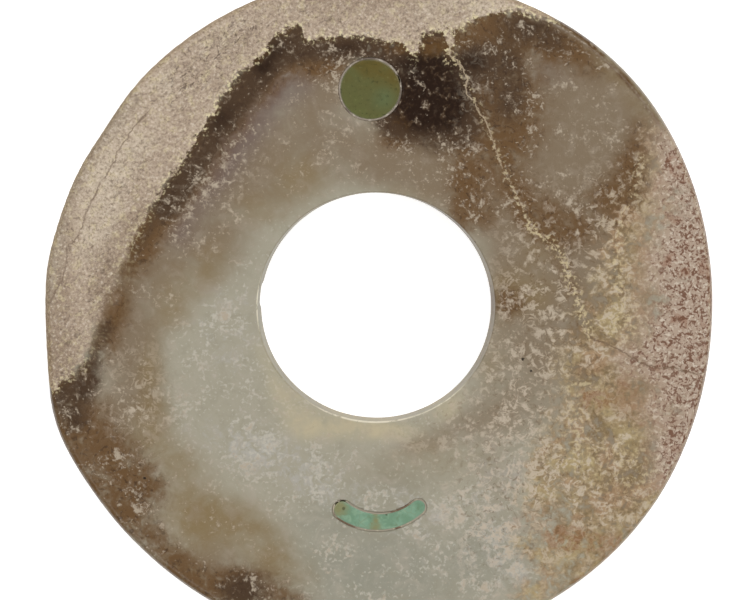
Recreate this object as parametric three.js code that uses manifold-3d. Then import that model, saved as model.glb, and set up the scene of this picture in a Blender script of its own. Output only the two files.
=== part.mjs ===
// A Neolithic jade bi: a flat stone disc with a drilled hole through its middle, and two small
// inlays let into its upper face, a round green plug above the hole and a turquoise crescent below.
// It lies on its underside. Millimetres, +Z up, +Y towards the plug. The origin is on the underside,
// in the middle of the disc's outline.
import * as THREE from "three";
import { mergeVertices } from "three/addons/utils/BufferGeometryUtils.js";
import Module from "manifold-3d";

// The disc, sawn and ground by hand.
const DISC_RADIUS = 84.5; // of the rim before the swells and hollows below
const THICKNESS = 9;
const RIM_ROUND = 1.7; // rounding of the rim's two corners
const RIM_CROWN = 0.5; // how far the middle of the rim's edge stands proud of its corners

// The hole, drilled from the upper face with a tube and sand: it narrows and leans as it goes down,
// and the tube's wobble has made it slightly wider along X than along Y.
const BORE_RADIUS = 28.6; // mean, at the underside, its narrow end
const BORE_FLARE = 0.6; // how much wider it is at the upper face
const BORE_LEAN = 0.45; // how far its centre moves towards +Y on the way down
const BORE_OVAL = 0.3; // how far it goes past its mean radius along X, and short of it along Y
const BORE_OVAL_TOP = 0.55; // the same at the upper face
const BORE_ROUND = 0.4; // softened corners at both ends
const BORE_OFF_X = -1; // centre of the narrow end, measured from the disc's centre
const BORE_OFF_Y = 1.32;

// Where the rim departs from a true circle: each is a swell (+) or a worn hollow (-) that is highest
// at an angle, counted anticlockwise from +X, and dies away over its spread.
const RIM_SHAPES = [
  { at: 45.5, rise: 1.5, spread: 24 },
  { at: 149, rise: -0.85, spread: 46 },
  { at: 147, rise: -0.7, spread: 7.5 },
  { at: 173, rise: 0.5, spread: 6.5 },
  { at: 199, rise: 1.6, spread: 9 },
  { at: 210.5, rise: 0.75, spread: 13 },
  { at: 354.5, rise: -1.15, spread: 25 },
];

// The round inlay.
const PLUG_RADIUS = 7.6;
const PLUG_THICKNESS = 3.2;
const PLUG_WEB = 17.8; // stone left between the mean circle of the hole's narrow end and the plug
const PLUG_AT = 91.6; // direction from the hole's centre, in degrees

// The crescent inlay, its horns towards the hole and evenly to both sides of it.
const CRESCENT_THICKNESS = 2.2;
const CRESCENT_INNER_RADIUS = 13;
const CRESCENT_WIDTH_LEFT = 4.5;
const CRESCENT_WIDTH_RIGHT = 3.7;
const CRESCENT_SPREAD = 78; // degrees of arc between the centres of its two round ends
const CRESCENT_WEB = 23.6; // stone left between the mean circle of the hole's narrow end and the crescent
const CRESCENT_AT = -88.7; // direction from the hole's centre, in degrees

// Both inlays.
const INLAY_EDGE = 0.25; // softened upper edge
const INLAY_SINK = 0.1; // how far their tops lie under the disc's face
const SEAT_GAP = 0.4; // bedding space round and under an inlay

// Smoothness of the curves.
const DISC_SEGMENTS = 168;
const RIM_CORNER_STEPS = 4;
const RIM_EDGE_STEPS = 4;
const BORE_CORNER_STEPS = 2;
const PLUG_SEGMENTS = 56;
const INLAY_EDGE_STEPS = 2;
const CRESCENT_SIDE_STEPS = 22;
const CRESCENT_END_STEPS = 8;

const wasm = await Module();
wasm.setup();

const radians = THREE.MathUtils.degToRad;

// Points of a circular corner, from one angle to another, both included.
function corner(centreX, centreY, radius, from, to, steps) {
  return Array.from({ length: steps + 1 }, (_, i) => {
    const angle = radians(from + ((to - from) * i) / steps);
    return new THREE.Vector2(centreX + radius * Math.cos(angle), centreY + radius * Math.sin(angle));
  });
}

// The disc's cross-section from the hole out to the rim: x is the distance from the axis, y the height.
function ringSection() {
  const cornerX = DISC_RADIUS - RIM_CROWN - RIM_ROUND;
  const edgeHalf = THICKNESS / 2 - RIM_ROUND;
  const edge = Array.from({ length: RIM_EDGE_STEPS - 1 }, (_, i) => {
    const t = (2 * (i + 1)) / RIM_EDGE_STEPS - 1;
    return new THREE.Vector2(DISC_RADIUS - RIM_CROWN * t * t, THICKNESS / 2 + edgeHalf * t);
  });
  const boreTop = BORE_RADIUS + BORE_FLARE + BORE_ROUND;
  const section = [
    ...corner(cornerX, RIM_ROUND, RIM_ROUND, -90, 0, RIM_CORNER_STEPS),
    ...edge,
    ...corner(cornerX, THICKNESS - RIM_ROUND, RIM_ROUND, 0, 90, RIM_CORNER_STEPS),
    ...corner(boreTop, THICKNESS - BORE_ROUND, BORE_ROUND, 90, 180, BORE_CORNER_STEPS),
    ...corner(BORE_RADIUS + BORE_ROUND, BORE_ROUND, BORE_ROUND, 180, 270, BORE_CORNER_STEPS),
  ];
  return [...section, section[0].clone()];
}

// How far the rim stands out of the true circle at an angle in degrees.
function rimDeparture(angle) {
  return RIM_SHAPES.reduce((sum, shape) => {
    const away = THREE.MathUtils.euclideanModulo(angle - shape.at + 180, 360) - 180;
    return sum + shape.rise * Math.exp(-((away / shape.spread) ** 2));
  }, 0);
}

// The hole's centre at a height above the underside.
function boreCentre(height) {
  return new THREE.Vector2(BORE_OFF_X, BORE_OFF_Y - (BORE_LEAN * height) / THICKNESS);
}

// How far the hole goes past its mean radius along X, and short of it along Y, at a height.
function boreOval(height) {
  return THREE.MathUtils.lerp(BORE_OVAL, BORE_OVAL_TOP, height / THICKNESS);
}

// Turns the true ring into the worn one: the rim follows its swells and hollows, the hole its own
// leaning centre and its oval, and the stone between them goes along in proportion.
function wear(geometry) {
  const points = geometry.getAttribute("position");
  for (let i = 0; i < points.count; i++) {
    const [x, y, z] = [points.getX(i), points.getY(i), points.getZ(i)];
    const angle = Math.atan2(y, x);
    const reach = Math.hypot(x, y);
    const out = THREE.MathUtils.clamp((reach - BORE_RADIUS) / (DISC_RADIUS - BORE_RADIUS), 0, 1);
    const worn = reach + out * rimDeparture(THREE.MathUtils.radToDeg(angle));
    const shift = boreCentre(z).multiplyScalar(1 - out);
    const oval = boreOval(z) * (1 - out);
    points.setXY(i, (worn + oval) * Math.cos(angle) + shift.x, (worn - oval) * Math.sin(angle) + shift.y);
  }
  return geometry;
}

// A solid turned round the Z axis from a section whose y is the height.
function turned(section, segments) {
  const geometry = new THREE.LatheGeometry(section, segments).rotateX(Math.PI / 2);
  geometry.deleteAttribute("normal");
  geometry.deleteAttribute("uv");
  return mergeVertices(geometry, 1e-4);
}

function plugGeometry(grow) {
  const radius = PLUG_RADIUS + grow;
  const section = [
    new THREE.Vector2(0, -grow),
    new THREE.Vector2(radius, -grow),
    ...corner(radius - INLAY_EDGE, PLUG_THICKNESS - INLAY_EDGE, INLAY_EDGE, 0, 90, INLAY_EDGE_STEPS),
    new THREE.Vector2(0, PLUG_THICKNESS),
  ];
  return turned(section, PLUG_SEGMENTS);
}

// Width of the crescent at t, which goes from -1 at the left end to 1 at the right.
function crescentWidth(t) {
  return THREE.MathUtils.lerp(CRESCENT_WIDTH_LEFT, CRESCENT_WIDTH_RIGHT, (t + 1) / 2);
}

// The crescent's outline round its own arc centre, belly towards -Y, grown by a margin all round.
function crescentShape(grow) {
  const half = CRESCENT_SPREAD / 2;
  const at = (t, radius) => {
    const angle = radians(half * t - 90);
    return new THREE.Vector2(radius * Math.cos(angle), radius * Math.sin(angle));
  };
  const side = (from, radiusOf) =>
    Array.from({ length: CRESCENT_SIDE_STEPS + 1 }, (_, i) => {
      const t = from * (1 - (2 * i) / CRESCENT_SIDE_STEPS);
      return at(t, radiusOf(t));
    });
  const end = (t) => {
    const radius = crescentWidth(t) / 2;
    const centre = at(t, CRESCENT_INNER_RADIUS + radius);
    const start = t > 0 ? half - 90 : half * t + 90;
    return corner(centre.x, centre.y, radius + grow, start, start + 180, CRESCENT_END_STEPS).slice(1, -1);
  };
  return new THREE.Shape([
    ...side(-1, (t) => CRESCENT_INNER_RADIUS + crescentWidth(t) + grow),
    ...end(1),
    ...side(1, () => CRESCENT_INNER_RADIUS - grow),
    ...end(-1),
  ]);
}

function crescentGeometry(grow) {
  const edge = INLAY_EDGE;
  const geometry = new THREE.ExtrudeGeometry(crescentShape(grow - edge), {
    depth: CRESCENT_THICKNESS + grow - 2 * edge,
    bevelEnabled: true,
    bevelThickness: edge,
    bevelSize: edge,
    bevelSegments: INLAY_EDGE_STEPS,
    steps: 1,
  })
    .translate(0, 0, edge - grow)
    .rotateZ(radians(CRESCENT_AT + 90));
  geometry.deleteAttribute("normal");
  geometry.deleteAttribute("uv");
  return mergeVertices(geometry, 1e-4);
}

// A closed geometry as a manifold solid, and back.
function solidOf(geometry) {
  return new wasm.Manifold(
    new wasm.Mesh({
      numProp: 3,
      vertProperties: new Float32Array(geometry.getAttribute("position").array),
      triVerts: new Uint32Array(geometry.index.array),
    }),
  );
}

function geometryOf(solid) {
  const mesh = solid.getMesh();
  const geometry = new THREE.BufferGeometry();
  geometry.setAttribute("position", new THREE.BufferAttribute(mesh.vertProperties, 3));
  geometry.setIndex(new THREE.BufferAttribute(mesh.triVerts, 1));
  return geometry;
}

// A pocket: the inlay grown by the bedding gap, and carried up through the face.
function pocket(makeGeometry, place) {
  const lower = solidOf(makeGeometry(SEAT_GAP).translate(place.x, place.y, place.z));
  const upper = lower.translate([0, 0, INLAY_SINK + INLAY_EDGE]);
  return lower.add(upper);
}

// A point at a distance and direction from the hole's narrow end, with its height.
function fromBore(distance, direction, height) {
  const centre = boreCentre(0);
  return new THREE.Vector3(
    centre.x + distance * Math.cos(radians(direction)),
    centre.y + distance * Math.sin(radians(direction)),
    height,
  );
}

const plugPlace = fromBore(
  BORE_RADIUS + PLUG_WEB + PLUG_RADIUS,
  PLUG_AT,
  THICKNESS - INLAY_SINK - PLUG_THICKNESS,
);
const crescentPlace = fromBore(
  BORE_RADIUS + CRESCENT_WEB - CRESCENT_INNER_RADIUS,
  CRESCENT_AT,
  THICKNESS - INLAY_SINK - CRESCENT_THICKNESS,
);

function discGeometry() {
  const ring = solidOf(wear(turned(ringSection(), DISC_SEGMENTS)));
  const carved = ring
    .subtract(pocket(plugGeometry, plugPlace))
    .subtract(pocket(crescentGeometry, crescentPlace));
  return geometryOf(carved);
}

function piece(name, geometry, look, place = new THREE.Vector3()) {
  geometry.computeVertexNormals();
  const mesh = new THREE.Mesh(geometry, new THREE.MeshStandardMaterial({ metalness: 0, ...look }));
  mesh.name = name;
  mesh.position.copy(place);
  return mesh;
}

const jade = { color: 0xa39a87, roughness: 0.4 };
const greenJade = { color: 0x65643c, roughness: 0.45 };
const turquoise = { color: 0x7a9c80, roughness: 0.5 };

const disc = piece("disc", discGeometry(), jade);
disc.geometry.computeBoundingBox();
const middle = disc.geometry.boundingBox.getCenter(new THREE.Vector3());

const worked = new THREE.Group();
worked.add(
  disc,
  piece("round_plug", plugGeometry(0), greenJade, plugPlace),
  piece("crescent_inlay", crescentGeometry(0), turquoise, crescentPlace),
);
worked.position.set(-middle.x, -middle.y, 0);

const bi = new THREE.Group();
bi.add(worked);
export default bi;
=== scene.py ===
# %% [markdown]
# A weathered jade bi disc.
# A bi is a flat disc of nephrite with a wide drilled hole. This one was ground by hand four or five
# thousand years ago, and burial has changed the stone: a chalky cream skin has eaten in from the rim,
# iron has stained a brown band in front of it, and only the middle still shows pale grey-green jade.
# A round plug of olive jade and a crescent of green turquoise are let into the upper face.
# The solids of the three pieces are loaded first, as the frame that everything else is fitted to.

# %% Load the frame
import math

import bmesh
import bpy
import numpy as np
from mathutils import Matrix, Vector
from mathutils.bvhtree import BVHTree


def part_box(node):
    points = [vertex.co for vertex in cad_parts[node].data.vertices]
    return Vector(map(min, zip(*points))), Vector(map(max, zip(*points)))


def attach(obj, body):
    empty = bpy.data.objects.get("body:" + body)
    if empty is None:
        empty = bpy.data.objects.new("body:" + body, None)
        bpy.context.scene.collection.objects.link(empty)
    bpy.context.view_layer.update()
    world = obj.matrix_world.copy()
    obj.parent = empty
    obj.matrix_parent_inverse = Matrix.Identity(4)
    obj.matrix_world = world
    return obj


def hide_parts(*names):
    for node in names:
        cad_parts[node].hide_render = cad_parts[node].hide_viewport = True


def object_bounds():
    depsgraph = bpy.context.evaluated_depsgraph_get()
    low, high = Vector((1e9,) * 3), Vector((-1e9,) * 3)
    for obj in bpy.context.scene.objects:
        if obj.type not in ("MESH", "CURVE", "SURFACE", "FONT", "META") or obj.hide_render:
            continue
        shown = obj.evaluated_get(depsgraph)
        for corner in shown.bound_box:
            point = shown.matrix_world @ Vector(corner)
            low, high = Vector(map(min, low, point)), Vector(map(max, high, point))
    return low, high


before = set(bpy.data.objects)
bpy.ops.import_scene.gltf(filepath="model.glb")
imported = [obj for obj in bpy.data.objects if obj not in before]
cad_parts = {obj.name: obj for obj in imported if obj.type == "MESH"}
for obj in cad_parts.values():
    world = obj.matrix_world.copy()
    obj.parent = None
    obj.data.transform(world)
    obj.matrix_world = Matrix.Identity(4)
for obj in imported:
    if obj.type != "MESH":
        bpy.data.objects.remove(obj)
cad_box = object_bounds()
MM = 0.001
print("solids:", sorted(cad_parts), "box in mm:", [tuple(round(c / MM, 1) for c in v) for v in cad_box])

# %% [markdown]
# The disc lies flat and the camera looks straight down on it, as the picture was taken. The lens is a
# long one, because a short lens close up would show too much of the wall of the hole. The picture
# is 185 mm wide at the stone's face, so the distance follows from the lens.

# %% Camera
LENS = 200
SENSOR = 36
PICTURE_WIDTH = 185 * MM
PICTURE_MIDDLE = Vector((-2.2, 2.65)) * MM
face_height = cad_box[1].z

bpy.ops.object.camera_add(
    location=(*PICTURE_MIDDLE, face_height + PICTURE_WIDTH * LENS / SENSOR), rotation=(0, 0, 0)
)
camera = bpy.context.object
camera.data.lens = LENS
camera.data.sensor_width = SENSOR
camera.data.clip_end = 10
bpy.context.scene.camera = camera
print("camera height:", round(camera.location.z, 3), "m")

# %% [markdown]
# The light is a plain studio: a dim sky, brighter towards the horizon, and soft boxes that stand
# round the table and lean in. None is overhead, because a polished stone shows what is above it, and a
# bright ceiling would lie as grey haze over the dark stains. The box at the upper right is the strongest,
# so that edges and relief have a lit side and a shaded one.

# %% Light
LAMP_DISTANCE = 1.4
LAMP_TILT = math.radians(55)
LAMP_SIZE = 1.1
# Each lamp's azimuth in degrees and its power in watts.
LAMPS = [(60, 10), (150, 7), (240, 6), (330, 7)]

for degrees, watts in LAMPS:
    azimuth = math.radians(degrees)
    level = Vector((math.cos(azimuth), math.sin(azimuth), 0)) * math.sin(LAMP_TILT)
    stand = LAMP_DISTANCE * (level + Vector((0, 0, math.cos(LAMP_TILT))))
    bpy.ops.object.light_add(type="AREA", location=stand)
    lamp = bpy.context.object
    lamp.rotation_mode = "QUATERNION"
    lamp.rotation_quaternion = stand.to_track_quat("Z", "Y")
    lamp.data.size = LAMP_SIZE
    lamp.data.energy = watts
    lamp.visible_camera = False
print("lamps:", len(LAMPS), "of", LAMP_SIZE, "m at", LAMP_DISTANCE, "m")

# %% [markdown]
# One small function adds a node with its settings and its links, and every material below is made
# with it. Another turns the hex colours that one picks from a screen into the linear colours that a
# shader counts in.

# %% Helpers for materials
def colour(code):
    """The linear colour of an sRGB hex code such as #A9A393."""
    shares = [int(code[i:i + 2], 16) / 255 for i in (1, 3, 5)]
    return [s / 12.92 if s <= 0.04045 else ((s + 0.055) / 1.055) ** 2.4 for s in shares] + [1.0]


def add(tree, kind, inputs=None, **settings):
    """Adds a node. An input is a value, a hex colour, a node (its first live output) or an output."""
    made = tree.nodes.new("ShaderNode" + kind)
    for name, value in settings.items():
        setattr(made, name, value)
    for name, value in (inputs or {}).items():
        named = [s for s in made.inputs if s.enabled and s.name == name]
        socket = made.inputs[name] if isinstance(name, int) else named[0]
        if isinstance(value, bpy.types.Node):
            value = next(s for s in value.outputs if s.enabled)
        if isinstance(value, bpy.types.NodeSocket):
            tree.links.new(value, socket)
        else:
            socket.default_value = colour(value) if isinstance(value, str) else value
    return made


def empty_material(name):
    """A new material with no nodes but its output."""
    material = bpy.data.materials.new(name)
    material.use_nodes = True
    material.node_tree.nodes.clear()
    material.node_tree.nodes.new("ShaderNodeOutputMaterial")
    return material


def coat(piece, material, settings, grain=None, strength=0.0, depth=0.0):
    """Gives a piece a material with these surface settings and a bump. Its depth is in mm."""
    tree = material.node_tree
    if grain:
        bump = add(tree, "Bump", {"Strength": strength, "Distance": depth * MM, "Height": grain})
        settings = {**settings, "Normal": bump}
    surface = add(tree, "BsdfPrincipled", settings)
    tree.links.new(surface.outputs[0], tree.nodes["Material Output"].inputs["Surface"])
    piece.data.materials.clear()
    piece.data.materials.append(material)


print("half grey on a screen is", round(colour("#808080")[0], 3), "in light")

# %% [markdown]
# The sky is white, brightest near the horizon and dark overhead. The view transform is the plain one,
# which gives the colours no look of its own.

# %% The sky
# How far a direction rises, from 0 at the horizon to 1 overhead, and the light's strength there.
SKY_LOW = (0.3, 0.8)
SKY_HIGH = (0.85, 0.0)

sky = bpy.data.worlds.new("studio")
bpy.context.scene.world = sky
sky.use_nodes = True
bpy.context.scene.view_settings.view_transform = "Standard"
height = add(sky.node_tree, "SeparateXYZ", {"Vector": add(sky.node_tree, "TexCoord").outputs["Generated"]})
glow = add(
    sky.node_tree, "MapRange",
    {"Value": height.outputs["Z"], "From Min": SKY_LOW[0], "From Max": SKY_HIGH[0],
     "To Min": SKY_LOW[1], "To Max": SKY_HIGH[1]},
)
light = sky.node_tree.nodes["Background"]
light.inputs["Color"].default_value = (1, 1, 1, 1)
sky.node_tree.links.new(glow.outputs[0], light.inputs["Strength"])
print("sky: strength", SKY_LOW[1], "up to height", SKY_LOW[0], "and", SKY_HIGH[1], "from", SKY_HIGH[0])

# %% [markdown]
# The floor is a light table: a large sheet of opal acrylic, cast with white pigment and left matt, and
# lit faintly from below as well. A thin disc's own shadow would grey the sheet round it and inside the
# hole, and this keeps it white, so that the eye has nothing but the stone. It lies a hair below the
# disc, so that the two don't share a plane.

# %% Floor
FLOOR_SIZE = 12
FLOOR_DROP = 0.05 * MM
FLOOR_GLOW = 0.6

bpy.ops.mesh.primitive_plane_add(size=FLOOR_SIZE, location=(0, 0, -FLOOR_DROP))
floor = bpy.context.object
floor.name = "light_table"
coat(
    floor, empty_material("white acrylic sheet"),
    {"Base Color": "#F4F4F4", "Roughness": 0.9, "Specular IOR Level": 0.0,
     "Emission Color": (1, 1, 1, 1), "Emission Strength": FLOOR_GLOW},
)
print("floor:", FLOOR_SIZE, "m")

# %% [markdown]
# The stone is measured before it is made. Level rays from outside find the rim, which is not a
# true circle, and rays from the axis find the hole, which was drilled from this face: it
# narrows and leans as it goes down.

# %% Measure the rim and the hole
THICKNESS = (cad_box[1].z - cad_box[0].z) / MM
TURNS = 720
angles = np.arange(TURNS) * 2 * math.pi / TURNS
stone_tree = BVHTree.FromObject(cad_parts["disc"], bpy.context.evaluated_depsgraph_get())
# Both in mm: where the level rays start, and how far from a face the hole is measured.
FAR_OUT = 200
NEAR_FACE = 1.0


def reach(angle, height, inwards):
    """Distance in mm from the axis to the stone, along a level ray at a height."""
    way = Vector((math.cos(angle), math.sin(angle), 0))
    lift = Vector((0, 0, height * MM))
    start = way * FAR_OUT * MM + lift if inwards else lift
    hit = stone_tree.ray_cast(start, -way if inwards else way)[0]
    return (hit - lift).length / MM


def around(values, turn):
    """A length that was measured at each of the angles, read at any turn in radians."""
    return np.interp(turn, angles, values, period=2 * math.pi)


rim = np.array([reach(a, THICKNESS / 2, True) for a in angles])
hole_low = np.array([reach(a, NEAR_FACE, False) for a in angles])
hole_high = np.array([reach(a, THICKNESS - NEAR_FACE, False) for a in angles])
print("rim", rim.min().round(2), "to", rim.max().round(2), "mm from the axis")
print("hole", hole_low.min().round(2), "to", hole_low.max().round(2), "mm near its narrow end")

# %% [markdown]
# Modelling needs a few helpers: one picks parts of a mesh by where they lie, one applies what has been
# set up on a piece, and two read and set all its points at once, in millimetres.

# %% Helpers for modelling
def select(piece, kind, test):
    """In edit mode, selects the vertices, edges or faces whose middle passes the test."""
    bpy.ops.mesh.select_mode(type=kind)
    bpy.ops.mesh.select_all(action="DESELECT")
    work = bmesh.from_edit_mesh(piece.data)
    for part in {"VERT": work.verts, "EDGE": work.edges, "FACE": work.faces}[kind]:
        corners = [part] if kind == "VERT" else list(part.verts)
        middle = sum((c.co for c in corners), Vector()) / len(corners)
        if test(middle, part):
            part.select_set(True)
    work.select_flush_mode()
    bmesh.update_edit_mesh(piece.data)


def only(piece):
    """Makes a piece the only one that is selected, and the active one."""
    bpy.ops.object.select_all(action="DESELECT")
    piece.select_set(True)
    bpy.context.view_layer.objects.active = piece


def apply_modifiers(piece):
    """Applies every modifier of a piece, in order."""
    only(piece)
    for modifier in list(piece.modifiers):
        bpy.ops.object.modifier_apply(modifier=modifier.name)


def points_of(piece):
    """The places of a piece's vertices, in mm."""
    flat = np.empty(len(piece.data.vertices) * 3, np.float32)
    piece.data.vertices.foreach_get("co", flat)
    return flat.reshape(-1, 3).astype(float) / MM


def put_points(piece, points):
    """Sets the places of a piece's vertices, given in mm."""
    piece.data.vertices.foreach_set("co", (points * MM).astype(np.float32).ravel())
    piece.data.update()


print("points of the disc's solid:", len(points_of(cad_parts["disc"])))

# %% [markdown]
# A solid of revolution is quickest to make from its section. A plane is stood on edge between the
# hole and the rim, its corners are rounded with a bevel, its sides are cut into short steps, and a
# screw modifier with no rise turns it like a lathe. The upper face gets the shortest steps, because
# its relief will be the finest, and the underside the longest.

# %% The ring's section
RIM_ROUND = 1.7
RIM_CROWN = 0.5
BORE_ROUND = 0.4
FACE_STEPS = 77
BACK_STEPS = 19
EDGE_STEPS = 8
BORE_STEPS = 8

flare = (hole_high.mean() - hole_low.mean()) / (THICKNESS - 2 * NEAR_FACE)
bore_low = hole_low.mean() - flare * NEAR_FACE
bore_high = hole_high.mean() + flare * NEAR_FACE
rim_out = rim.mean()
width = rim_out - RIM_CROWN - bore_low

bpy.ops.object.select_all(action="DESELECT")
bpy.ops.mesh.primitive_plane_add(
    size=1, rotation=(math.pi / 2, 0, 0), location=((bore_low + width / 2) * MM, 0, THICKNESS / 2 * MM)
)
stone = bpy.context.object
stone.name = "jade_disc"
stone.scale = (width * MM, THICKNESS * MM, 1)
bpy.ops.object.transform_apply(location=True, rotation=True, scale=True)
print("section", round(width, 2), "by", THICKNESS, "mm, hole", round(bore_low, 2), "to", round(bore_high, 2))

# %% [markdown]
# The section's corners are rounded before it is turned, so that one small bevel rounds a whole edge.
# The rim is a little crowned, as a rim that was ground by hand is.

# %% Round its corners and turn it
inner = (bore_low + width / 2) * MM
middle_height = THICKNESS / 2 * MM
bpy.ops.object.mode_set(mode="EDIT")
select(stone, "VERT", lambda p, _: p.x < inner and p.z > middle_height)
bpy.ops.transform.translate(value=((bore_high - bore_low) * MM, 0, 0))
select(stone, "VERT", lambda p, _: p.x > inner)
bpy.ops.mesh.bevel(offset=RIM_ROUND * MM, segments=5, affect="VERTICES")
select(stone, "VERT", lambda p, _: p.x < inner)
bpy.ops.mesh.bevel(offset=BORE_ROUND * MM, segments=3, affect="VERTICES")
bpy.ops.mesh.select_all(action="SELECT")
bpy.ops.mesh.delete(type="ONLY_FACE")

LONG = 3 * MM
HAIR = 0.01 * MM
sides = [
    (FACE_STEPS, lambda p: abs(p.z - THICKNESS * MM) < HAIR),
    (BACK_STEPS, lambda p: abs(p.z) < HAIR),
    (EDGE_STEPS, lambda p: p.x > inner and abs(p.z - middle_height) < 1 * MM),
    (BORE_STEPS, lambda p: p.x < inner and abs(p.z - middle_height) < 1 * MM),
]
for steps, on_side in sides:
    select(stone, "EDGE", lambda p, e, on_side=on_side: on_side(p) and e.calc_length() > LONG)
    bpy.ops.mesh.subdivide(number_cuts=steps - 1)

edge_half = (THICKNESS / 2 - RIM_ROUND) * MM
work = bmesh.from_edit_mesh(stone.data)
for v in work.verts:
    lean = abs(v.co.z - middle_height) / edge_half
    if v.co.x > inner and lean < 1:
        v.co.x += RIM_CROWN * MM * (1 - lean * lean)
bmesh.update_edit_mesh(stone.data)
bpy.ops.object.mode_set(mode="OBJECT")

lathe = stone.modifiers.new("lathe", "SCREW")
lathe.axis = "Z"
lathe.steps = lathe.render_steps = TURNS
lathe.use_merge_vertices = True
lathe.merge_threshold = HAIR
apply_modifiers(stone)
bpy.ops.object.mode_set(mode="EDIT")
bpy.ops.mesh.select_all(action="SELECT")
bpy.ops.mesh.normals_make_consistent(inside=False)
bpy.ops.object.mode_set(mode="OBJECT")
print("turned", len(stone.data.vertices), "vertices", len(stone.data.polygons), "faces")

# %% [markdown]
# The rim isn't a true circle: whole stretches of it were ground flat. Each vertex moves outwards or
# inwards as the measured rim does at its angle, and the hole's edge keeps to the measured hole.

# %% Follow the worn outline
def follow_outline(points):
    """Moves the spun ring onto the measured rim and hole, and the stone between along with them."""
    turn = np.arctan2(points[:, 1], points[:, 0])
    away = np.hypot(points[:, 0], points[:, 1])
    out = np.clip((away - bore_low) / (rim_out - bore_low), 0, 1)
    swell = around(rim, turn) - rim_out
    up = (points[:, 2] - NEAR_FACE) / (THICKNESS - 2 * NEAR_FACE)
    low, high = around(hole_low, turn) - hole_low.mean(), around(hole_high, turn) - hole_high.mean()
    moved = points.copy()
    moved[:, :2] *= (1 + (out * swell + (1 - out) * (low + up * (high - low))) / away)[:, None]
    return moved


put_points(stone, follow_outline(points_of(stone)))
print("outline in mm:", points_of(stone).min(0).round(2), points_of(stone).max(0).round(2))

# %% [markdown]
# The zones of the stone are drawn as a map in millimetres, seen from above. The cream skin has one
# ragged edge, a cream vein crosses the right half, and thin cracks run on from it and through the skin.

# %% The map of lines
SKIN_EDGE = [
    (-82, -20.5), (-78, -16.5), (-74, -13.5), (-71, -3.5), (-67, 3.5), (-61.5, 18), (-56.5, 27),
    (-51, 35), (-44.5, 44.5), (-39, 54.5), (-35.5, 59), (-30.5, 63), (-26, 68.5), (-22.5, 71),
    (-19.5, 71), (-18, 67.5), (-13, 68), (-9.5, 69), (-2, 68.5), (4, 67), (7.5, 66.5), (8.5, 62.8),
    (10, 67), (12, 69.5), (16.5, 70.5), (17.8, 63.5), (18.8, 70), (24, 72.7), (28.5, 74.5), (34.5, 75),
    (39, 74), (45.5, 72),
]
OUTSIDE = [(60, 100), (-100, 100), (-100, -30)]
VEIN = [
    (18, 69.5), (17.5, 64), (20, 61.5), (22, 58.5), (22, 54), (24, 52), (26, 48.5), (28.5, 43),
    (30.5, 36.5), (32.5, 32.5), (35.5, 27), (38, 21), (41.5, 18), (45, 15), (47, 9.5), (49, 5),
    (50.5, 0.5), (52.5, -6),
]
RIGHT_CRACK = [
    (52.5, -6), (53.5, -7), (57, -8.5), (61.5, -10.5), (65, -13), (68.5, -14), (73.5, -14.5), (79.5, -16),
    (85, -15.5),
]
SKIN_CRACK = [
    (-58, 49), (-62, 44.5), (-65.5, 38.5), (-68.5, 33.5), (-71, 29), (-73, 24.5), (-75, 18.5),
    (-78, 15.5), (-78.5, 10.5), (-79.5, 6.5), (-82.5, 2),
]


def beside(line, spots):
    """Distance in mm of each spot from a line of straight stretches, negative on its right side."""
    best = np.full(len(spots), np.inf)
    for start, end in zip(np.array(line[:-1], float), np.array(line[1:], float)):
        along = end - start
        share = np.clip((spots - start) @ along / (along @ along), 0, 1)
        offset = spots - start - share[:, None] * along
        on_right = along[0] * offset[:, 1] < along[1] * offset[:, 0]
        away = np.linalg.norm(offset, axis=1) * np.where(on_right, -1, 1)
        best = np.where(np.abs(away) < np.abs(best), away, best)
    return best


def distance_to(line, spots):
    """Distance in mm of each spot from a line of straight stretches."""
    return np.abs(beside(line, spots))


def inside(outline, spots):
    """Whether each spot lies inside a closed outline."""
    found = np.zeros(len(spots), bool)
    for (ax, ay), (bx, by) in zip(outline, outline[1:] + outline[:1]):
        if ay == by:
            continue
        crosses = (spots[:, 1] < ay) != (spots[:, 1] < by)
        found ^= crosses & (spots[:, 0] < (bx - ax) * (spots[:, 1] - ay) / (by - ay) + ax)
    return found


def skin_depth(spots):
    """How far each spot lies inside the cream skin in mm, and negative outside it."""
    away = distance_to(SKIN_EDGE, spots)
    return np.where(inside(SKIN_EDGE + OUTSIDE, spots), away, -away)


print("points of the skin's edge:", len(SKIN_EDGE), "of the vein:", len(VEIN))

# %% [markdown]
# Stains have soft edges, so each is a handful of oval clouds: the middle, the half-widths along and
# across, the turn in degrees and the strength. Overlapping clouds add up without passing full strength.
# A run is a stain that follows a line, with its half-width and its strength.

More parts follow.
